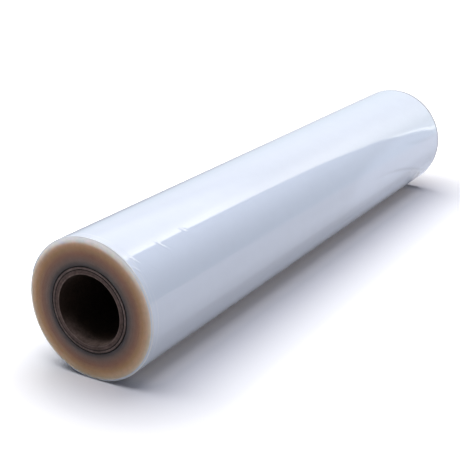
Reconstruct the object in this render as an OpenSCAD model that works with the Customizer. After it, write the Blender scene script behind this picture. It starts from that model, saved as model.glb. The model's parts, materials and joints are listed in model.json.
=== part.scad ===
// Roll of clear film, wound on a paperboard tube and lying on its side.
// The roll's axis runs along X at the height where the soft roll has settled on its flat.
// The origin is on the floor under the middle of the web, and the tail of the film is at the back (+Y).

/* [Roll] */
// Outer diameter over the last turn of film
roll_d = 156; // [130:1:260]
// Width of the film web, which is the length of the roll
web_w = 800; // [300:10:1500]
// Width of the flat that the soft roll has settled on
flat_w = 20; // [14:1:40]

/* [Core] */
// Bore of the paperboard tube
core_bore_d = 76; // [60:1:90]
// Wall of the paperboard tube
core_wall = 8.5; // [5:0.5:12]
// Worn bevel round the four rims of the tube
core_bevel = 0.8; // [0.3:0.1:0.9]
// Plies of board in the wall of the tube
core_plies = 3; // [2:1:4]
// Width of the line between two plies, on the ends of the tube
ply_line_w = 0.4; // [0.2:0.1:0.6]
// Depth of the line between two plies
ply_line_depth = 0.6; // [0.2:0.1:1]

/* [Turns] */
// Groups of turns whose edges stand apart on the ends
turn_groups = 14; // [6:1:20]
// Most that a group of turns has drifted along the roll
turn_drift = 0.25; // [0.1:0.05:0.8]
// Radius of the soft outer rim of the turns
rim_r = 2; // [1:0.1:3]
// Bevel where the first turns leave the tube
start_bevel = 0.6; // [0.3:0.1:1]

/* [Last turns] */
// Thickness of the last turns, which have slid along the roll together
last_t = 1.2; // [1:0.1:2]
// How far the last turns have slid along the roll
last_slide = 1.5; // [0.5:0.1:3]
// Height of the step at the tail of the film
tail_t = 0.6; // [0.2:0.1:0.8]
// Angle of the tail above the level of the axis, at the back
tail_angle = 20; // [-20:5:60]

/* [Fits] */
// Clearance all round between the tube and the first turn
core_fit = 0.1; // [0.05:0.05:0.3]

/* [Hidden] */
$fn = 180;
// How far pieces that are joined reach into each other, and a cut runs out of what it cuts
lap = 1;
// Steps in the arc of the outer rim
rim_steps = 6;
end_x = web_w / 2;
bore_r = core_bore_d / 2;
core_r = bore_r + core_wall;
ply_t = core_wall / core_plies;
start_r = core_r + core_fit;
roll_r = roll_d / 2;
turns_r = roll_r - last_t;
// The groups share the end face, between the bevel at the tube and the outer rim
face_in_r = start_r + start_bevel;
face_out_r = turns_r - rim_r;
group_t = (face_out_r - face_in_r) / turn_groups;
// The last turn is a spiral about two centres: the half over the tail and the axis is centred on
// the axis, and the half under them is shifted away from the tail
under_shift = tail_t / 2;
under_r = roll_r - under_shift;
axis_h = sqrt(pow(under_r, 2) - pow(flat_w / 2, 2)) + under_shift * sin(tail_angle);

// Lays a shape drawn round Z along X, with its own X towards the back and its own Y upwards
module lay_down() {
    translate([0, 0, axis_h])
        rotate([90, 0, 90])
            children();
}

// The points in the order that closes an outline which came up the other end
function back(points) = [for (i = [len(points) - 1 : -1 : 0]) points[i]];

// Notch for the line between ply k and the next one, on the end at side -1 or 1
function ply_notch(k, side) =
    let (r = bore_r + k * ply_t, half_w = ply_line_w / 2, floor_x = end_x - ply_line_depth)
    [for (p = [[-half_w, end_x], [-half_w, floor_x], [half_w, floor_x], [half_w, end_x]])
        [r + p[0], side * p[1]]];

// One end of the tube, from the bore out: worn bevels, and a line between each two plies
function core_end(side) = concat(
    [[bore_r, side * (end_x - core_bevel)], [bore_r + core_bevel, side * end_x]],
    [for (k = [1 : core_plies - 1]) each ply_notch(k, side)],
    [[core_r - core_bevel, side * end_x], [core_r, side * (end_x - core_bevel)]]
);

// Paperboard tube
module core() {
    color("#5f4f47")
        lay_down()
            rotate_extrude()
                polygon(concat(core_end(-1), back(core_end(1))));
}

// Drift of group k along the roll. The web was guided from side to side while it was wound,
// so neighbours lie apart, and as it has one width, both ends show the same drift.
function drift(k) = turn_drift * (k % 2 == 0 ? 1 : -1) * (0.6 + 0.4 * cos(100 * k));

// One end of the turns, from the tube out: bevel, a step where each two groups meet, soft rim
function turns_end(side) =
    let (last = turn_groups - 1)
    concat(
        [[start_r, side * (end_x - start_bevel) + drift(0)], [face_in_r, side * end_x + drift(0)]],
        [for (k = [1 : last]) for (j = [k - 1, k]) [face_in_r + k * group_t, side * end_x + drift(j)]],
        [for (s = [0 : rim_steps])
            let (a = 90 * s / rim_steps)
            [face_out_r + rim_r * sin(a), side * (end_x - rim_r * (1 - cos(a))) + drift(last)]]
    );

// Turns from the tube out to the last ones
module wound_turns() {
    rotate_extrude()
        polygon(concat(turns_end(-1), back(turns_end(1))));
}

// Half of a wide ring, over (side 1) or under (side -1) the line through the tail and the axis
module half_wrap(inner_r, outer_r, shift, side) {
    translate([-shift, 0, last_slide - end_x])
        rotate([0, 0, side > 0 ? 0 : 180])
            rotate_extrude(angle = 180)
                translate([inner_r, 0])
                    square([outer_r - inner_r, web_w]);
}

// Last turns, which have slid along the roll and stop at the tail
module last_turns() {
    inner_r = turns_r - lap;
    half_wrap(inner_r, roll_r, 0, 1);
    half_wrap(inner_r - under_shift, under_r, under_shift, -1);
}

// Everything below the floor that the roll has settled on
module below_floor() {
    reach = end_x + last_slide + lap;
    translate([-roll_r, -roll_r - lap - axis_h, -reach])
        cube([roll_d, roll_r + lap, 2 * reach]);
}

// Film: one web, wound from the tube to its tail
module film() {
    color("#dde5f2")
        lay_down()
            difference() {
                rotate([0, 0, tail_angle])
                    union() {
                        wound_turns();
                        last_turns();
                    }
                below_floor();
            }
}

core();
film();
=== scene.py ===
import json
import math
import bpy
import numpy as np
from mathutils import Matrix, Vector


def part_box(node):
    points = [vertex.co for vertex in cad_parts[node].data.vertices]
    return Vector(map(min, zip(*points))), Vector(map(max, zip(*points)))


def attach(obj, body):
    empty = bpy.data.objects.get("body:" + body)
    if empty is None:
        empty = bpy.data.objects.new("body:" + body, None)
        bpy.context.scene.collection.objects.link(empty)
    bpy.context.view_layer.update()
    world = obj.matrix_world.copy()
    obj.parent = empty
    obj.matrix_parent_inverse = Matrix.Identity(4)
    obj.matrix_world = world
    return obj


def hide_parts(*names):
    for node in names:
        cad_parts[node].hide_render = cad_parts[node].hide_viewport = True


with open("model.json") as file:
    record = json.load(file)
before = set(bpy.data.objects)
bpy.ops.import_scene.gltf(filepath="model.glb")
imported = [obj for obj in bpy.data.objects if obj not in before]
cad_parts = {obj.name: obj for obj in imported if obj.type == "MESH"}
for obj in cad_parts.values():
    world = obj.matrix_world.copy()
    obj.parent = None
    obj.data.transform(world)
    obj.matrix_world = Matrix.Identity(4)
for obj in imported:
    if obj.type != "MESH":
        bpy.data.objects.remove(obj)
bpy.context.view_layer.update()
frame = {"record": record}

mm = 0.001  # the pieces' sizes below are in millimetres, and their meshes are in metres
sharpAngle = math.radians(35)  # an edge where the faces turn by more than this stays sharp

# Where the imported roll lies: its axis runs along X, and the photographed end is the one at low X
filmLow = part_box("film")[0]
coreLow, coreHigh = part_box("core")
boreMount = next(m for m in frame["record"]["mounts"] if m["name"] == "core_bore")
axisZ = boreMount["pos_m"][2]
boreRadius = boreMount["dims"]["r_mm"] * mm
coreRadius = (coreHigh.y - coreLow.y) / 2
rollRadius = -filmLow.y
halfLength = coreHigh.x
print("frame loaded, roll radius %.1f mm, length %.0f mm" % (rollRadius / mm, 2 * halfLength / mm))


# Mesh from a grid of points with shape (rows, columns, 3), closed both ways into a ring of skin;
# finishOfRow gives each row of faces its place in the piece's list of materials
def skinFromGrid(name, points, finishOfRow=None):
    rows, columns = points.shape[:2]
    r, c = np.meshgrid(np.arange(rows), np.arange(columns), indexing="ij")
    nextRow, nextColumn = (r + 1) % rows, (c + 1) % columns
    quads = np.stack([r * columns + c, r * columns + nextColumn,
                      nextRow * columns + nextColumn, nextRow * columns + c], axis=-1).reshape(-1, 4)
    mesh = bpy.data.meshes.new(name)
    mesh.vertices.add(rows * columns)
    mesh.vertices.foreach_set("co", points.astype(np.float32).ravel())
    mesh.loops.add(quads.size)
    mesh.loops.foreach_set("vertex_index", quads.astype(np.int32).ravel())
    mesh.polygons.add(len(quads))
    mesh.polygons.foreach_set("loop_start", np.arange(0, quads.size, 4, dtype=np.int32))
    if finishOfRow is not None:
        mesh.polygons.foreach_set("material_index", np.repeat(finishOfRow, columns).astype(np.int32))
    mesh.update(calc_edges=True)
    mesh.validate()
    mesh.shade_smooth()
    mesh.set_sharp_from_angle(angle=sharpAngle)
    piece = bpy.data.objects.new(name, mesh)
    bpy.context.scene.collection.objects.link(piece)
    return piece


# Point grid from radius and place along the roll, each (rows, columns), and one angle per column:
# y = radius times the cosine, z = axis height plus radius times the sine, counted from the back upwards
def aroundAxis(along, radius, angle):
    return np.stack([along + 0 * radius, radius * np.cos(angle), axisZ + radius * np.sin(angle)], axis=-1)


# Steps from start on, where each stretch (end, step) goes on from the one before in its own step
def stretches(start, *parts):
    pieces = []
    for end, step in parts:
        count = max(1, int(round((end - start) / step)))
        pieces.append(np.linspace(start, end, count, endpoint=False))
        start = end
    return np.append(np.concatenate(pieces), start)


# Rises smoothly from 0 to 1 between low and high
def smoothStep(low, high, value):
    s = np.clip((value - low) / (high - low), 0, 1)
    return s * s * (3 - 2 * s)


# Film: the wound web, one closed skin from the tube over both ends and the last turns

# In mm and degrees; the last three lines space the grid over the last turns, each (end, step): angles,
# finer at the creases and on to just short of the tail, places from the near end, and places back from
# the far edge
film = {
    "fit": 0.1, "startBevel": 0.9, "rim": 6.0, "rimSteps": 14,
    "groups": 14, "bandsPerGroup": 2, "drift": 0.08, "driftUneven": 0.4, "driftTurn": 100,
    "bandDrift": 0.03, "bandTurn": 2.4, "bandPower": 1.3,
    "wrap": 1.2, "slide": 1.5, "tailStep": 0.6, "tailAngle": 20, "wrapRound": 1.0, "wrapSteps": 6,
    "wrapGap": 0.1, "flatBlend": 0.15, "waveHeight": 0.03, "waveLengths": (610, 370, 233), "waveShift": 1.7,
    "looseEdges": (3.0, 6.0, 9.4), "looseStep": 0.06, "edgeSoftness": 0.8,
    "edgeWander": 0.9, "wanderTurns": (2, 5), "wanderShift": 2.1,
    # Painted highlights along the loose edges, over the rounding of the last turn and on the top of the near
    # rim; painted shade along the far edge and in the grooves
    "edgeLight": 0.35, "edgeWidth": 0.45, "edgeLightShift": 1.2,
    "rimLight": 0.7, "brightRows": 5, "brightFrom": 0.3, "brightTo": 0.95,
    "outlineWidth": 4.5, "grooveShade": 7.0,
    "angleSteps": ((118, 2.0), (146, 0.8)), "lastAngleStep": 2.0, "allRound": 359.97,
    "nearSteps": ((18, 0.5), (54, 2), (70, 0.5), (97, 2), (110, 0.5)),
    "farSteps": ((63.5, 6), (14, 2)), "lastStep": 0.5,
}

# Creases in the last turn: place along the roll from the near end, angle, length round the roll,
# width along it, height, and how far the crease leans along the roll, all but the angle in mm
creases = (
    (13, 129.5, 9, 2.6, 0.260, 5), (16, 131.5, 6, 2.0, -0.090, 4), (6.5, 136, 9, 2.4, 0.300, 6),
    (5.0, 147, 7, 2.0, 0.320, 2.5), (8.0, 151, 6, 1.8, 0.240, 2), (31, 141, 9, 2.6, 0.080, 6),
    (57, 125.6, 8, 2.2, 0.110, 5), (61, 131, 12, 2.2, 0.120, 8), (66, 132.5, 9, 2.2, -0.080, 6),
    (101, 124.5, 9, 2.4, 0.120, 6), (106, 126, 8, 2.4, -0.070, 5),
)

# Shallow dents: place along the roll, angle, half size along and round the roll, depth
dents = (
    (786, 150, 12, 8, 0.14), (560, 139, 28, 14, 0.05), (640, 143, 24, 12, -0.05),
    (250, 168, 150, 26, 0.03), (430, 40, 120, 30, 0.06), (120, 330, 60, 24, 0.05),
)

# Long grooves that bow round the roll: place and half length along the roll, angle at the middle,
# slope and bow in degrees, half width, depth
grooves = ((670, 95, 187.4, 16.2, 5.4, 2.4, 0.17), (735, 60, 166, 4, -3, 3.0, 0.07))

# The near edge of the last turns flares: height, how far along the roll, angle at the middle, half spread
flare = (0.50, 4.0, 122, 20)

# A patch of painted light on the last turns at the far end: place, angle, half size along and round the roll
paintedLightPatch = (700, 182, 239, 46)

# A dark spot of painted shade where the far edge of the last turn has a nick: place from that edge, angle,
# size
paintedNickShade = (2.5, 139, 2.0)


# Groups of turns lie apart along the roll, first to one side and then to the other, some further than
# others, and the bands of a group a little as well
def groupDrift(band):
    v = film
    group = band // v["bandsPerGroup"]
    toSide = np.where(group % 2 == 0, 1, -1)
    swing = 1 - v["driftUneven"] * (1 - np.cos(np.radians(v["driftTurn"] * group)))
    return v["drift"] * toSide * swing + v["bandDrift"] * np.sin(v["bandTurn"] * band ** v["bandPower"])


# Outline of one end from the tube out: bevel, a small step between bands of turns, and a soft rim, which
# is an arc that stops where the last turns have slid to
def filmEnd(side):
    v = film
    startRadius = coreRadius / mm + v["fit"]
    turn = np.linspace(0, math.acos(1 - v["slide"] / v["rim"]), v["rimSteps"])[1:]
    faceIn = startRadius + v["startBevel"]
    faceOut = rollRadius / mm - v["wrap"] - v["rim"] * np.sin(turn[-1])
    bands = np.arange(v["groups"] * v["bandsPerGroup"])
    edges = np.linspace(faceIn, faceOut, len(bands) + 1)
    place = side * halfLength / mm + groupDrift(bands)
    radius = np.concatenate([[startRadius], np.stack([edges[:-1], edges[1:]], 1).ravel(),
                             faceOut + v["rim"] * np.sin(turn)])
    along = np.concatenate([[place[0] - side * v["startBevel"]], np.repeat(place, 2),
                            side * (halfLength / mm - v["rim"] * (1 - np.cos(turn)))])
    return along[:, None], radius[:, None]


# Radius of the last turn at an angle past the tail: a circle on the axis for the half over the tail,
# and for the half under it a circle half a step smaller, about a point half a step from the axis
def wrapRadius(pastTail):
    outer = rollRadius / mm
    shift = film["tailStep"] / 2
    under = np.sqrt((outer - shift) ** 2 - (shift * np.sin(pastTail)) ** 2) - shift * np.cos(pastTail)
    rounding = 1e-9  # half a turn past the tail still belongs to the first half
    return np.where(pastTail <= math.pi + rounding, outer, under)


# The roll has settled on a flat: no radius reaches further down than the axis is high
def settle(radius, angle):
    smallest = 1e-3  # keeps the limit finite where the angle doesn't point down
    limit = axisZ / mm / np.maximum(-np.sin(angle), smallest)
    blend = film["flatBlend"]
    return -blend * np.logaddexp(-radius / blend, -limit / blend)


# Distance in mm round the roll from the angle at
def aroundFrom(degrees, at):
    return np.radians(degrees - at) * rollRadius / mm


# 1 along the middle of a groove, and 0 away from it
def grooveShape(groove, fromNear, degrees):
    place, halfAlong, at, slope, bow, halfRound = groove[:-1]
    s = (fromNear - place) / halfAlong
    across = aroundFrom(degrees, at + slope * s + bow * s ** 2)
    return np.exp(-s ** 4 - (across / halfRound) ** 2)


# Waves, creases, dents, grooves and the flare, as heights in mm over the round of the last turn: long
# sines along the roll, and bells that fade with the distance from their middle
def wrapRelief(fromNear, degrees):
    relief = np.zeros(np.broadcast(fromNear, degrees).shape)
    for k, wave in enumerate(film["waveLengths"]):
        phase = 2 * math.pi * fromNear / wave + film["waveShift"] * k + np.sin(np.radians(degrees) + k)
        relief += film["waveHeight"] / (k + 1) * np.sin(phase)
    for place, at, length, width, height, lean in creases:
        across = aroundFrom(degrees, at)
        side = fromNear - place - across / length * lean
        relief += height * np.exp(-(2 * side / width) ** 2 - (2 * across / length) ** 4)
    for place, at, halfAlong, halfRound, depth in dents:
        across = aroundFrom(degrees, at)
        relief -= depth * np.exp(-((fromNear - place) / halfAlong) ** 2 - (across / halfRound) ** 2)
    for groove in grooves:
        relief -= groove[-1] * grooveShape(groove, fromNear, degrees)
    height, reach, at, spread = flare
    return relief + height * np.exp(-fromNear / reach - ((degrees - at) / spread) ** 4)


# 1 in the patch of painted light at the far end and 0 elsewhere, and below 0 in the grooves, where shade is
# painted
def paintedPatchAndGrooveMask(fromNear, degrees):
    place, at, halfAlong, halfRound = paintedLightPatch
    across = aroundFrom(degrees, at)
    mask = np.exp(-(((fromNear - place) / halfAlong) ** 2 + (across / halfRound) ** 2) ** 5)
    for groove in grooves:
        mask = mask - film["grooveShade"] * groove[-1] * grooveShape(groove, fromNear, degrees)
    return mask


# Painted shade: 1 along the edge of the last turn at the far end and in its nick, and 0 elsewhere
def farOutline(fromFar, degrees):
    nickFromFar, nickAngle, nickSize = paintedNickShade
    across = aroundFrom(degrees, nickAngle)
    nick = np.exp(-((fromFar - nickFromFar) / nickSize) ** 2 - (across / nickSize) ** 2)
    return np.exp(-(fromFar / film["outlineWidth"]) ** 4) + nick


# The loose last turns stop one after the other near both ends: each edge wanders round the roll in two
# sines, takes a small step off the radius, and carries a painted highlight over part of the round
def looseEnds(radius, angle, fromNear, fromFar):
    v = film
    slow, fast = v["wanderTurns"]
    light = np.zeros(radius.shape)
    for k, edge in enumerate(v["looseEdges"]):
        wander = np.sin(angle * (slow + k) + v["wanderShift"] * k) + 0.5 * np.sin(angle * (fast + k))
        place = edge + v["edgeWander"] * wander
        strength = v["edgeLight"] * (0.5 - 0.5 * np.cos(angle * (slow + k) + v["edgeLightShift"] + k))
        for distance in (fromNear, fromFar):
            radius = radius - v["looseStep"] * (1 - smoothStep(place, place + v["edgeSoftness"], distance))
            light += strength * np.exp(-((distance - place) / v["edgeWidth"]) ** 2)
    return radius, light


# The rows of the grid follow the outline from the tube over the near end, the last turns and the far end
# back to the tube, and its columns go round the roll from the tail on
def makeFilm():
    v = film
    tail = v["tailAngle"]
    start, stop = v["slide"], 2 * halfLength / mm + v["slide"]
    lastAngles = (tail + v["allRound"], v["lastAngleStep"])
    angle = np.radians(stretches(tail, *v["angleSteps"], lastAngles))[None, :]
    degrees = np.degrees(angle) % 360
    turn = np.linspace(0, math.pi / 2, v["wrapSteps"], endpoint=False)[:, None]
    inward, down = v["wrapRound"] * (1 - np.cos(turn)), v["wrapRound"] * (1 - np.sin(turn))
    farSteps = [(stop - fromEdge, step) for fromEdge, step in v["farSteps"]]
    lastSteps = (stop - v["wrapRound"], v["lastStep"])
    fromNear = stretches(start + v["wrapRound"], *v["nearSteps"], *farSteps, lastSteps)[:, None]
    side = wrapRadius(angle - math.radians(tail)) + wrapRelief(fromNear, degrees)
    side, edgeLight = looseEnds(side, angle, fromNear - start, stop - fromNear)
    side = settle(side, angle)
    nearAlong, nearRadius = filmEnd(-1)
    farAlong, farRadius = filmEnd(1)
    ones = np.ones_like(angle)
    fromNearAll = np.concatenate([start + inward, fromNear, stop - inward[::-1], [[stop]]])
    along = np.concatenate([nearAlong, fromNearAll - halfLength / mm, farAlong[::-1]])
    radius = np.concatenate([nearRadius * ones, side[:1] - down, side, side[-1:] - down[::-1],
                             (farRadius[-1:] + v["wrapGap"]) * ones, farRadius[::-1] * ones])
    points = aroundAxis(along * mm, radius * mm, angle)

    skin, cutEdges, firstTurns = 0, 1, 2
    firstBright = len(nearAlong) - v["brightRows"]
    finishOfRow = np.full(len(along), cutEdges)
    finishOfRow[firstBright:len(along) - len(farAlong) - 1] = skin
    # The faces beside the tube get the painted shade of the joint
    finishOfRow[[0, -2, -1]] = firstTurns
    piece = skinFromGrid("woundFilm", points, finishOfRow)

    firstSide = len(nearAlong) + len(inward)
    afterSide = firstSide + len(side)
    masks = {"edgeLight": edgeLight, "farOutline": farOutline(stop - fromNear, degrees),
             "slack": paintedPatchAndGrooveMask(fromNear, degrees)}
    for name, mask in masks.items():
        values = np.zeros(points.shape[:2])
        values[firstSide:afterSide] = np.clip(mask, -1, 1)
        values[afterSide:-len(farAlong)] = values[afterSide - 1]
        # Painted highlight on the near rim: brighter towards the top on its outermost rows, even over the
        # rounding of the last turn
        if name == "edgeLight":
            values[firstBright:len(nearAlong)] = smoothStep(v["brightFrom"], v["brightTo"], np.sin(angle))
            values[len(nearAlong):firstSide] = v["rimLight"]
        stored = piece.data.attributes.new(name, "FLOAT", "POINT")
        stored.data.foreach_set("value", values.astype(np.float32).ravel())
    print("film made, %d points" % (points.shape[0] * points.shape[1]))
    return piece


# Core: the paperboard tube

core = {
    "bevel": 0.8, "bevelSteps": 5, "plies": 3, "plyLine": 0.4, "plyDepths": (0.15, 0.6),
    "columns": 300, "boreRings": 60, "boreInset": 8,
    "fuzz": 0.05, "fuzzTurns": (9, 3), "fuzzRings": 5.3, "endZone": 2,
}

# Section of the groove between two plies: place across it, in widths of the line, and share of its depth
plyGroove = ((-2.2, 0), (-0.9, 0), (-0.5, 0.35), (-0.2, 1), (0.2, 1), (0.5, 0.35), (0.9, 0), (2.2, 0))

# Nicks in the rims of the tube: angle, radius from the axis, half size round and across, depth in mm
nicks = (
    (118, 39.0, 3.0, 0.9, 0.7), (246, 44.8, 2.6, 1.0, 0.6), (38, 40.5, 3.4, 0.8, 0.5),
    (301, 38.6, 2.8, 1.0, 0.6), (196, 45.4, 3.2, 0.9, 0.5), (82, 45.2, 2.4, 0.8, 0.5),
)


# Outline of one end of the tube from the bore out: rounded rims and a groove between each two plies
def tubeEnd(side):
    v = core
    inner, outer = boreRadius / mm, coreRadius / mm
    quarter = np.linspace(0, math.pi / 2, v["bevelSteps"])
    radius = list(inner + v["bevel"] * (1 - np.cos(quarter)))
    depth = list(v["bevel"] * (1 - np.sin(quarter)))
    for k, plyDepth in enumerate(v["plyDepths"], 1):
        line = inner + k * (outer - inner) / v["plies"]
        radius += [line + across * v["plyLine"] for across, share in plyGroove]
        depth += [share * plyDepth for across, share in plyGroove]
    radius += list(outer - v["bevel"] * (1 - np.sin(quarter)))
    depth += list(v["bevel"] * (1 - np.cos(quarter)))
    return side * (halfLength / mm - np.array(depth)), np.array(radius)


# The rows of the grid follow the outline over both ends and back through the bore; the board of the ends
# is pushed in by a fine pattern of sines and by the nicks
def makeCore():
    v = core
    nearAlong, nearRadius = tubeEnd(-1)
    farAlong, farRadius = tubeEnd(1)
    boreEnd = halfLength / mm - v["boreInset"]
    inside = np.linspace(boreEnd, -boreEnd, v["boreRings"])
    along = np.concatenate([nearAlong, farAlong[::-1], inside])[:, None]
    radius = np.concatenate([nearRadius, farRadius[::-1], 0 * inside + boreRadius / mm])[:, None]
    angle = np.linspace(0, 2 * math.pi, v["columns"], endpoint=False)[None, :]
    atEnd = np.abs(along) > halfLength / mm - v["endZone"]
    many, few = v["fuzzTurns"]
    push = v["fuzz"] * np.sin(many * angle + radius) * np.sin(v["fuzzRings"] * radius + few * angle)
    for at, nickRadius, halfRound, halfAcross, deep in nicks:
        around = np.radians((np.degrees(angle) - at + 180) % 360 - 180) * nickRadius
        push = push + deep * np.exp(-(around / halfRound) ** 2 - ((radius - nickRadius) / halfAcross) ** 2)
    along = along - np.sign(along) * np.where(atEnd, np.maximum(push, 0), 0)
    points = aroundAxis(along * mm, radius * mm + 0 * angle, angle)
    piece = skinFromGrid("coreTube", points)
    print("core tube made, %d points" % (points.shape[0] * points.shape[1]))
    return piece


# Materials

# Feeds an input of a node: an output is linked to it, and a plain value is set, a colour with full alpha
def feed(tree, socket, source):
    if isinstance(source, bpy.types.NodeSocket):
        tree.links.new(source, socket)
    elif socket.type == "RGBA":
        socket.default_value = (*source, 1)
    else:
        socket.default_value = source


# Adds a node with its settings by attribute, and feeds its inputs by name or number
def addNode(tree, kind, inputs=None, **settings):
    node = tree.nodes.new(kind)
    for key, value in settings.items():
        setattr(node, key, value)
    for key, source in (inputs or {}).items():
        feed(tree, node.inputs[key], source)
    return node


def addMath(tree, operation, *sources):
    return addNode(tree, "ShaderNodeMath", dict(enumerate(sources)), operation=operation).outputs["Value"]


def addVectorMath(tree, operation, *sources):
    node = addNode(tree, "ShaderNodeVectorMath", dict(enumerate(sources)), operation=operation)
    return node.outputs["Value" if operation == "LENGTH" else "Vector"]


def addMix(tree, factor, first, second):
    inputs = {"Factor": factor, "A": first, "B": second}
    return addNode(tree, "ShaderNodeMix", inputs, data_type="RGBA").outputs["Result"]


# 0 to 1 while the source goes from low to high
def addRange(tree, source, low, high, kind="LINEAR"):
    inputs = {"Value": source, "From Min": low, "From Max": high}
    return addNode(tree, "ShaderNodeMapRange", inputs, interpolation_type=kind).outputs["Result"]


def addRamp(tree, stops, source):
    ramp = addNode(tree, "ShaderNodeValToRGB", {"Fac": source})
    elements = ramp.color_ramp.elements
    while len(elements) < len(stops):
        elements.new(0.5)
    for element, (place, colour) in zip(elements, stops):
        element.position = place
        element.color = (*colour, 1)
    return ramp.outputs["Color"]


# Piecewise straight curve through ((place, level), ...)
def addCurve(tree, points, source):
    low, high = points[0][0], points[-1][0]
    top = max(level for place, level in points)
    stops = [((place - low) / (high - low), (level / top,) * 3) for place, level in points]
    return addMath(tree, "MULTIPLY", addRamp(tree, stops, addRange(tree, source, low, high)), top)


def addNoise(tree, position, scale, detail):
    inputs = {"Vector": position, "Scale": scale, "Detail": detail}
    return addNode(tree, "ShaderNodeTexNoise", inputs).outputs["Fac"]


def addBump(tree, height, strength, distance):
    inputs = {"Height": height, "Strength": strength, "Distance": distance}
    return addNode(tree, "ShaderNodeBump", inputs).outputs["Normal"]


def addTint(tree, colour, factor):
    inputs = {0: colour, "Scale": factor}
    return addNode(tree, "ShaderNodeVectorMath", inputs, operation="SCALE").outputs["Vector"]


def splitVector(tree, vector):
    return addNode(tree, "ShaderNodeSeparateXYZ", {0: vector}).outputs


def objectPosition(tree):
    return addNode(tree, "ShaderNodeTexCoord").outputs["Object"]


def readMask(tree, name):
    return addNode(tree, "ShaderNodeAttribute", attribute_name=name).outputs["Fac"]


def newMaterial(name):
    material = bpy.data.materials.new(name)
    material.use_nodes = True
    return material, material.node_tree


def feedShader(tree, inputs):
    shader = tree.nodes["Principled BSDF"]
    for key, source in inputs.items():
        feed(tree, shader.inputs[key], source)


# New shader node group that takes sockets of these kinds and puts out one value: its tree, the outputs
# that hold what it is given, and the input for its result
def newGroup(name, kinds, result):
    group = bpy.data.node_groups.new(name, "ShaderNodeTree")
    for key, kind in kinds.items():
        group.interface.new_socket(key, in_out="INPUT", socket_type=kind)
    group.interface.new_socket(result, in_out="OUTPUT", socket_type="NodeSocketFloat")
    start, end = group.nodes.new("NodeGroupInput"), group.nodes.new("NodeGroupOutput")
    return group, start.outputs, end.inputs[result]


# Shader node group: distance of a point from the roll's axis, as a share of the roll's radius
def makeRadiusGroup():
    group, given, share = newGroup("radiusShare", {"Position": "NodeSocketVector"}, "Share")
    centred = addVectorMath(group, "SUBTRACT", given["Position"], (0, 0, axisZ))
    across = addVectorMath(group, "MULTIPLY", centred, (0, 1, 1))
    distance = addVectorMath(group, "LENGTH", across)
    feed(group, share, addMath(group, "DIVIDE", distance, rollRadius))
    return group


toneNoises = {
    "Patch Scale": {"Detail": 3.0, "Roughness": 0.5},
    "Fine Scale": {"Detail": 2.0, "Roughness": 0.6},
}


# Shader node group: uneven tone, a patchy noise mixed with a finer one, as a factor round 1
def makeToneGroup():
    kinds = {"Position": "NodeSocketVector", "Patch Scale": "NodeSocketFloat",
             "Fine Scale": "NodeSocketFloat", "Amount": "NodeSocketFloat"}
    group, given, factor = newGroup("unevenTone", kinds, "Factor")
    noises = []
    for scale, values in toneNoises.items():
        inputs = {"Vector": given["Position"], "Scale": given[scale], **values}
        noises.append(addNode(group, "ShaderNodeTexNoise", inputs).outputs["Fac"])
    centred = addMath(group, "SUBTRACT", addMath(group, "ADD", *noises), 1.0)
    feed(group, factor, addMath(group, "MULTIPLY_ADD", centred, given["Amount"], 1.0))
    return group


def radiusShare(tree, position):
    return addNode(tree, "ShaderNodeGroup", {"Position": position}, node_tree=radiusGroup).outputs["Share"]


def unevenTone(tree, position, v):
    inputs = {"Position": position, "Patch Scale": v["patchScale"], "Fine Scale": v["fineScale"],
              "Amount": v["unevenness"]}
    return addNode(tree, "ShaderNodeGroup", inputs, node_tree=toneGroup).outputs["Factor"]


skinFinish = {
    "colour": (0.72, 0.79, 0.92), "edgeColour": (0.97, 0.97, 0.97), "outlineColour": (0.10, 0.09, 0.14),
    "slackLight": 0.20, "roughness": 0.05, "ior": 2.0,
    "patchScale": 6.0, "fineScale": 40.0, "unevenness": 0.05,
    "streakStretch": (1.5, 60.0, 60.0), "streakDetail": 3.0, "streakDistance": 0.0002,
    "streakStrength": 0.10,
}


# Skin of the last turns and of the outermost rows of the near rim: high gloss, with painted highlights along
# the edges of the loose turns and over the near rim, brighter at its top, a patch of painted light at the
# far end, painted shade in its grooves, along its far edge and in its nick, and a bump of faint streaks that
# run along the roll
def makeSkinMaterial():
    v = skinFinish
    material, tree = newMaterial("clearFilmSkin")
    position = objectPosition(tree)
    colour = v["colour"]
    # Painted highlight along the loose edges and on the rim, then painted shade along the far edge and its
    # nick
    for mask, other in (("edgeLight", v["edgeColour"]), ("farOutline", v["outlineColour"])):
        colour = addMix(tree, readMask(tree, mask), colour, other)
    tone = unevenTone(tree, position, v)
    # Painted light in the far patch and painted shade in the grooves raise and lower the colour
    light = addMath(tree, "MULTIPLY_ADD", readMask(tree, "slack"), v["slackLight"], tone)
    drawnOut = addNode(tree, "ShaderNodeMapping", {"Vector": position, "Scale": v["streakStretch"]})
    streaks = addNoise(tree, drawnOut.outputs["Vector"], 1.0, v["streakDetail"])
    feedShader(tree, {
        "Base Color": addTint(tree, colour, light),
        "Normal": addBump(tree, streaks, v["streakStrength"], v["streakDistance"]),
        "Roughness": v["roughness"], "IOR": v["ior"],
    })
    return material


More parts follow.
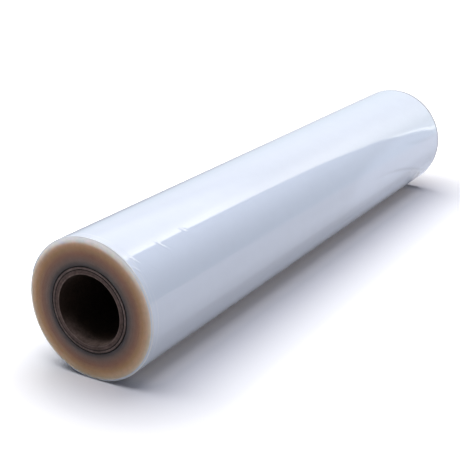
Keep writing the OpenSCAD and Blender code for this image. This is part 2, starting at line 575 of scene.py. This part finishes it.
# Colour of the cut edges by share of the roll's radius, from the tube out to the rim, and of a painted
# highlight on the upper rim, which comes in between two shares and between two heights over the axis, in
# metres
edgeFinish = {
    # The first stop, near black where the film meets the tube, is painted shade in the joint
    "stops": (
        (0.598, (0.008, 0.006, 0.006)), (0.603, (0.055, 0.045, 0.047)), (0.635, (0.125, 0.100, 0.098)),
        (0.680, (0.255, 0.175, 0.148)), (0.770, (0.400, 0.210, 0.145)), (0.850, (0.610, 0.370, 0.205)),
        (0.900, (0.740, 0.520, 0.330)), (0.940, (0.730, 0.560, 0.390)), (0.962, (0.760, 0.640, 0.510)),
        (0.978, (0.880, 0.880, 0.890)),
    ),
    "firstTurns": (0.010, 0.008, 0.008),
    "upperRim": (0.96, 0.97, 0.99), "upperRimShares": (0.885, 0.950), "upperRimHeights": (0.030, 0.074),
    "glossShares": (0.91, 0.95), "glossRoughness": 0.2, "glossIor": 1.65,
    "roughness": 0.6, "shine": 0.2, "depth": 0.014, "depthOfColours": (1.0, 0.75, 0.55),
    "patchScale": 30.0, "fineScale": 180.0, "unevenness": 0.25,
}


# Cut edges of the turns: light goes into them, and the soft rim is glossy, with a painted highlight that
# makes it paler at the top
def makeEdgeMaterial():
    v = edgeFinish
    material, tree = newMaterial("filmCutEdges")
    position = objectPosition(tree)
    share = radiusShare(tree, position)
    # Painted highlight on the upper rim
    foot, top = v["upperRimHeights"]
    atTop = addRange(tree, splitVector(tree, position)["Z"], axisZ + foot, axisZ + top)
    atRim = addRange(tree, share, *v["upperRimShares"], "SMOOTHSTEP")
    upperRim = addMath(tree, "MULTIPLY", atTop, atRim)
    colour = addMix(tree, upperRim, addRamp(tree, v["stops"], share), v["upperRim"])
    feedShader(tree, {
        "Base Color": addTint(tree, colour, unevenTone(tree, position, v)),
        "Coat Weight": addRange(tree, share, *v["glossShares"]),
        "Coat Roughness": v["glossRoughness"], "Coat IOR": v["glossIor"],
        "Roughness": v["roughness"], "Specular IOR Level": v["shine"],
        "Subsurface Weight": 1.0, "Subsurface Radius": v["depthOfColours"], "Subsurface Scale": v["depth"],
    })
    return material


# Bevel of the first turns, painted near black as the shade in the joint beside the tube
def makeJointShadeMaterial():
    v = edgeFinish
    material, tree = newMaterial("filmFirstTurns")
    tone = unevenTone(tree, objectPosition(tree), v)
    feedShader(tree, {
        "Base Color": addTint(tree, v["firstTurns"], tone),
        "Roughness": v["roughness"], "Specular IOR Level": v["shine"],
    })
    return material


# Colour of the board by share of the roll's radius, from the bore out, and of a pool of painted light at the
# foot of the bore's mouths, which comes in over a depth from the end and between two heights under the axis,
# in metres
boardFinish = {
    # The first stop is painted shade in the bore, the next two a painted highlight on the inner rim, and the
    # last, near black beside the film, painted shade in the joint
    "stops": (
        (0.4890, (0.026, 0.016, 0.012)), (0.493, (0.150, 0.110, 0.100)), (0.501, (0.210, 0.157, 0.143)),
        (0.512, (0.130, 0.090, 0.081)), (0.546, (0.145, 0.105, 0.096)), (0.552, (0.024, 0.017, 0.015)),
        (0.560, (0.024, 0.017, 0.015)), (0.567, (0.220, 0.168, 0.158)), (0.587, (0.180, 0.135, 0.126)),
        (0.594, (0.008, 0.006, 0.006)),
    ),
    "mouthColour": (0.14, 0.10, 0.085), "mouthDepth": 0.022, "mouthHeights": (-0.010, -0.034),
    "roughness": 0.9, "shine": 0.12, "patchScale": 70.0, "fineScale": 300.0, "unevenness": 1.3,
    "grainScale": 900.0, "grainDetail": 3.0, "grainStrength": 0.35, "grainDistance": 0.0004,
}


# Paperboard: painted shade makes it dark in the bore, with a pool of painted light at the foot of its
# mouths, a painted highlight on the inner rim, painted shade at the outer rim beside the film, and a line
# between the plies
def makeBoardMaterial():
    v = boardFinish
    material, tree = newMaterial("tubeBoard")
    position = objectPosition(tree)
    share = radiusShare(tree, position)
    fromMiddle = splitVector(tree, addVectorMath(tree, "ABSOLUTE", position))
    # Pool of painted light at the foot of the bore's mouths
    top, foot = v["mouthHeights"]
    atMouth = addRange(tree, fromMiddle["X"], halfLength - v["mouthDepth"], halfLength, "SMOOTHSTEP")
    atFoot = addRange(tree, fromMiddle["Z"], axisZ + top, axisZ + foot, "SMOOTHSTEP")
    inBore = addMath(tree, "LESS_THAN", share, v["stops"][0][0])
    paintedMouthLight = addMath(tree, "MULTIPLY", atMouth, addMath(tree, "MULTIPLY", atFoot, inBore))
    colour = addMix(tree, paintedMouthLight, addRamp(tree, v["stops"], share), v["mouthColour"])
    grain = addNoise(tree, position, v["grainScale"], v["grainDetail"])
    feedShader(tree, {
        "Base Color": addTint(tree, colour, unevenTone(tree, position, v)),
        "Normal": addBump(tree, grain, v["grainStrength"], v["grainDistance"]),
        "Roughness": v["roughness"], "Specular IOR Level": v["shine"],
    })
    return material


radiusGroup = makeRadiusGroup()
toneGroup = makeToneGroup()
filmPiece = makeFilm()
corePiece = makeCore()
for material in (makeSkinMaterial(), makeEdgeMaterial(), makeJointShadeMaterial()):
    filmPiece.data.materials.append(material)
corePiece.data.materials.append(makeBoardMaterial())
for piece, node, slotName in ((filmPiece, "film", "clear_film"), (corePiece, "core", "core_board")):
    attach(piece, "root")
    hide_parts(node)
print("pieces ride on the frame")


# Stage: white table, screens round it, lamps and camera, with their places in metres

# Colour and glow of the table by distance from the line under the front of the roll; the colour is darker
# and warmer near the roll, a painted shade that deepens its contact shadow
table = {
    "half": 4.0, "bounce": 0.55, "inset": 0.04, "shift": 0.04, "roughness": 0.9,
    "glowColour": (1.0, 0.97, 0.96),
    "colours": ((0.00, (0.92, 0.86, 0.84)), (0.02, (0.90, 0.88, 0.90)), (0.03, (0.80, 0.80, 0.84)),
                (0.05, (0.80, 0.80, 0.84)), (0.08, (0.90, 0.90, 0.92)), (0.12, (0.92, 0.92, 0.92)),
                (2.00, (0.92, 0.92, 0.92))),
    "glow": ((0.00, 0.06), (0.02, 0.04), (0.03, 0.0), (0.08, 0.0), (0.10, 0.05), (0.14, 0.20), (0.20, 0.44),
             (0.26, 0.57), (0.42, 0.46), (1.10, 0.45), (2.00, 1.00)),
}

# Screens that only reflections meet: the plane that each lies in and its outline there, its tint, with
# another at the foot where it changes over the first metre up, and its radiance along one axis and along
# another, each ((place, level), ...) and multiplied together, and added to a base where there is one
brightScreen = {
    "plane": ("X", 1.55),
    "outline": ((-0.575, 0.0), (2.2, 0.0), (2.2, 2.05), (-0.475, 2.05), (-0.482, 1.83), (-0.504, 1.44),
                (-0.486, 1.17), (-0.495, 0.92), (-0.547, 0.67), (-0.597, 0.40), (-0.590, 0.26),
                (-0.578, 0.12)),
    "tint": (1.0, 0.99, 0.94), "footTint": (0.80, 0.92, 0.98), "axis": "Y",
    "across": ((-0.60, 2.18), (-0.42, 2.18), (-0.28, 1.97), (-0.15, 1.62), (0.0, 1.40), (0.3, 1.28),
               (0.8, 1.14), (1.4, 1.04)),
    "rise": "Z", "up": ((0.0, 0.76), (0.4, 0.84), (0.9, 1.0), (1.2, 1.0), (1.45, 1.4), (1.85, 1.4)),
}
dimScreen = {
    "plane": ("X", 1.56), "outline": ((-2.6, 0.0), (-0.4, 0.0), (-0.4, 2.05), (-2.6, 2.05)),
    "tint": (0.83, 0.94, 1.08), "footTint": (0.80, 0.93, 1.10), "axis": "Y",
    "across": ((-2.6, 0.84), (-1.4, 0.84), (-1.0, 0.97), (-0.75, 1.02), (-0.5, 1.02)),
    "rise": "Z", "up": ((0.0, 1.25), (0.2, 1.12), (0.5, 1.0), (1.3, 1.0)),
}
# A strip of light along the foot of the bright screen, seen as a thin line at the far end of the roll
edgeStrip = {
    "plane": ("X", 1.54),
    "outline": ((-0.578, 0.12), (-0.545, 0.11), (-0.566, 0.26), (-0.575, 0.40), (-0.560, 0.52),
                (-0.575, 0.54), (-0.597, 0.40), (-0.590, 0.26)),
    "tint": (0.95, 1.0, 1.0), "axis": "Y", "across": ((-0.7, 2.6), (-0.5, 2.6)),
    "rise": "Z", "up": ((0.0, 1.0), (0.4, 1.0)),
}
# A low screen behind the roll, which the upper edge of the film reflects as a thin grey line
backScreen = {
    "plane": ("Y", 0.45), "outline": ((-0.4, 0.0), (1.7, 0.0), (1.7, 0.16), (-0.4, 0.13)),
    "tint": (1.0, 1.0, 1.05), "axis": "X", "across": ((-0.4, 0.18), (0.2, 0.40), (0.8, 0.70), (1.7, 0.80)),
    "rise": "Z", "up": ((0.0, 1.0), (0.3, 1.0)),
}
# A pale blue sheet on the table in front of the roll and past its far end, which the lower half of the
# film reflects
lowSheet = {
    "plane": ("Z", 0.002),
    "outline": ((-0.38, -1.3), (1.7, -1.3), (1.7, 0.0), (0.43, 0.0), (0.43, -0.105), (-0.38, -0.105)),
    "tint": (0.83, 0.87, 1.0), "axis": "X",
    "across": ((-0.4, 1.35), (-0.2, 1.52), (0.2, 1.52), (0.45, 1.44), (1.7, 1.44)),
    "rise": "Y", "up": ((-1.3, 1.0), (-0.35, 1.0), (-0.17, 1.0), (-0.105, 0.70)),
}
# Soft lights overhead, before and behind the roll, which the film reflects when it is seen from the side
overhead = {
    "height": 2.5, "halfX": 1.9, "brightX": 1.2, "nearY": 0.7, "farY": 2.5, "brightY": (1.45, 1.75),
    "base": 1.0, "level": 2.4,
}
softbox = {
    "place": (0.0, 0.6, 5.0), "towards": (0.0, 0.6, 0.0), "alongX": 5.0, "alongY": 6.4,
    "watts": 320, "colour": (1.0, 1.0, 1.0),
}
skyPanel = {
    "place": (0.0, 0.0, 5.5), "towards": (0.0, 0.0, 0.0), "alongX": 6.0, "alongY": 7.0,
    "watts": 33, "colour": (0.12, 0.28, 1.0),
}
fillPanel = {
    "place": (1.0, -1.2, 0.5), "towards": (0.0, 0.0, 0.1), "alongX": 0.8, "alongY": 0.8,
    "watts": 1.5, "colour": (1.0, 0.93, 0.95),
}
roomLight = (0.062, 0.057, 0.056)
view = {
    "place": (-1.10999, -0.58887, 0.49416), "yaw": 30.836, "pitch": -19.957, "lens": 78.02, "sensor": 36,
}


def makeFlat(name, corners):
    mesh = bpy.data.meshes.new(name)
    mesh.from_pydata(corners, [], [tuple(range(len(corners)))])
    flat = bpy.data.objects.new(name, mesh)
    bpy.context.scene.collection.objects.link(flat)
    return flat


# 1 for rays from the camera, from reflections and through clear pieces, and 0 for all others
def seenDirectly(tree):
    rays = addNode(tree, "ShaderNodeLightPath").outputs
    seen = rays["Is Camera Ray"]
    for other in ("Is Glossy Ray", "Is Transmission Ray"):
        seen = addMath(tree, "MAXIMUM", seen, rays[other])
    return seen


# The table keeps its shadow near the roll, deepened by painted shade in its colour there, and turns to the
# white of the background further out; the distance is counted from a line under the front of the roll that
# stops a little short of its ends
def makeTable():
    v = table
    h = v["half"]
    flat = makeFlat("whiteTable", [(-h, -h, 0), (h, -h, 0), (h, h, 0), (-h, h, 0)])
    material, tree = newMaterial("whiteTableTop")
    seen = seenDirectly(tree)
    shifted = addVectorMath(tree, "ADD", objectPosition(tree), (0, v["shift"], 0))
    fromMiddle = addVectorMath(tree, "ABSOLUTE", shifted)
    pastLine = addVectorMath(tree, "SUBTRACT", fromMiddle, (halfLength - v["inset"], 0, 0))
    distance = addVectorMath(tree, "LENGTH", addVectorMath(tree, "MAXIMUM", pastLine, (0, 0, 0)))
    reach = v["colours"][-1][0]
    stops = [(place / reach, colour) for place, colour in v["colours"]]
    # The darker, warmer colour near the roll is painted shade
    colours = addRamp(tree, stops, addRange(tree, distance, 0, reach))
    feedShader(tree, {
        "Base Color": addMix(tree, seen, (v["bounce"],) * 3, colours),
        "Roughness": v["roughness"], "Specular IOR Level": 0.0, "Emission Color": v["glowColour"],
        "Emission Strength": addMath(tree, "MULTIPLY", addCurve(tree, v["glow"], distance), seen),
    })
    flat.data.materials.append(material)


# Values of the screen for the light overhead on one side of the roll, -1 before it and 1 behind it,
# which fades towards its edges
def overheadLight(side):
    v = overhead
    x, bright, level = v["halfX"], v["brightX"], v["level"]
    low, high = sorted((side * v["nearY"], side * v["farY"]))
    brightLow, brightHigh = sorted(side * y for y in v["brightY"])
    return {
        "plane": ("Z", v["height"]), "outline": ((-x, low), (x, low), (x, high), (-x, high)),
        "tint": (1.0, 1.0, 1.0), "base": v["base"],
        "axis": "X", "across": ((-x, 0.0), (-bright, level), (bright, level), (x, 0.0)),
        "rise": "Y", "up": ((low, 0.0), (brightLow, 1.0), (brightHigh, 1.0), (high, 0.0)),
    }


def makeScreen(name, v):
    axis, place = v["plane"]
    k = "XYZ".index(axis)
    flat = makeFlat(name, [(*corner[:k], place, *corner[k:]) for corner in v["outline"]])
    material, tree = newMaterial(name + "Glow")
    position = splitVector(tree, objectPosition(tree))
    across = addCurve(tree, v["across"], position[v["axis"]])
    up = addCurve(tree, v["up"], position[v["rise"]])
    glow = addNode(tree, "ShaderNodeEmission", {
        "Color": addMix(tree, position["Z"], v.get("footTint", v["tint"]), v["tint"]),
        "Strength": addMath(tree, "MULTIPLY_ADD", across, up, v.get("base", 0.0)),
    })
    feed(tree, tree.nodes["Material Output"].inputs["Surface"], glow.outputs["Emission"])
    flat.data.materials.append(material)
    flat.visible_camera = False
    flat.visible_diffuse = False
    flat.visible_shadow = False


# Flat lamp that faces a point, and lights without being seen or reflected
def makeLamp(name, v):
    lamp = bpy.data.lights.new(name, "AREA")
    lamp.shape, lamp.size, lamp.size_y = "RECTANGLE", v["alongX"], v["alongY"]
    lamp.energy, lamp.color = v["watts"], v["colour"]
    holder = bpy.data.objects.new(name, lamp)
    bpy.context.scene.collection.objects.link(holder)
    holder.location = v["place"]
    facing = Vector(v["towards"]) - Vector(v["place"])
    holder.rotation_euler = facing.to_track_quat("-Z", "Y").to_euler()
    holder.visible_camera = False
    holder.visible_glossy = False


# World: white where the camera and reflections meet it, and the plain grey of the room for other rays
def makeWorld(colour):
    world = bpy.data.worlds.new("room")
    bpy.context.scene.world = world
    world.use_nodes = True
    tree = world.node_tree
    feed(tree, tree.nodes["Background"].inputs["Color"], addMix(tree, seenDirectly(tree), colour, (1, 1, 1)))


def makeCamera():
    v = view
    camera = bpy.data.cameras.new("camera")
    camera.lens, camera.sensor_width = v["lens"], v["sensor"]
    holder = bpy.data.objects.new("camera", camera)
    bpy.context.scene.collection.objects.link(holder)
    holder.location = v["place"]
    holder.rotation_euler = (math.radians(90 + v["pitch"]), 0, math.radians(v["yaw"] - 90))
    bpy.context.scene.camera = holder


makeTable()
for name, values in (("brightScreen", brightScreen), ("dimScreen", dimScreen), ("edgeStrip", edgeStrip),
                     ("backScreen", backScreen), ("lowSheet", lowSheet), ("frontLight", overheadLight(-1)),
                     ("backLight", overheadLight(1))):
    makeScreen(name, values)
for name, values in (("softbox", softbox), ("skyPanel", skyPanel), ("fillPanel", fillPanel)):
    makeLamp(name, values)
makeWorld(roomLight)
makeCamera()
bpy.context.scene.view_settings.view_transform = "Standard"
print("stage, lamps and camera set")
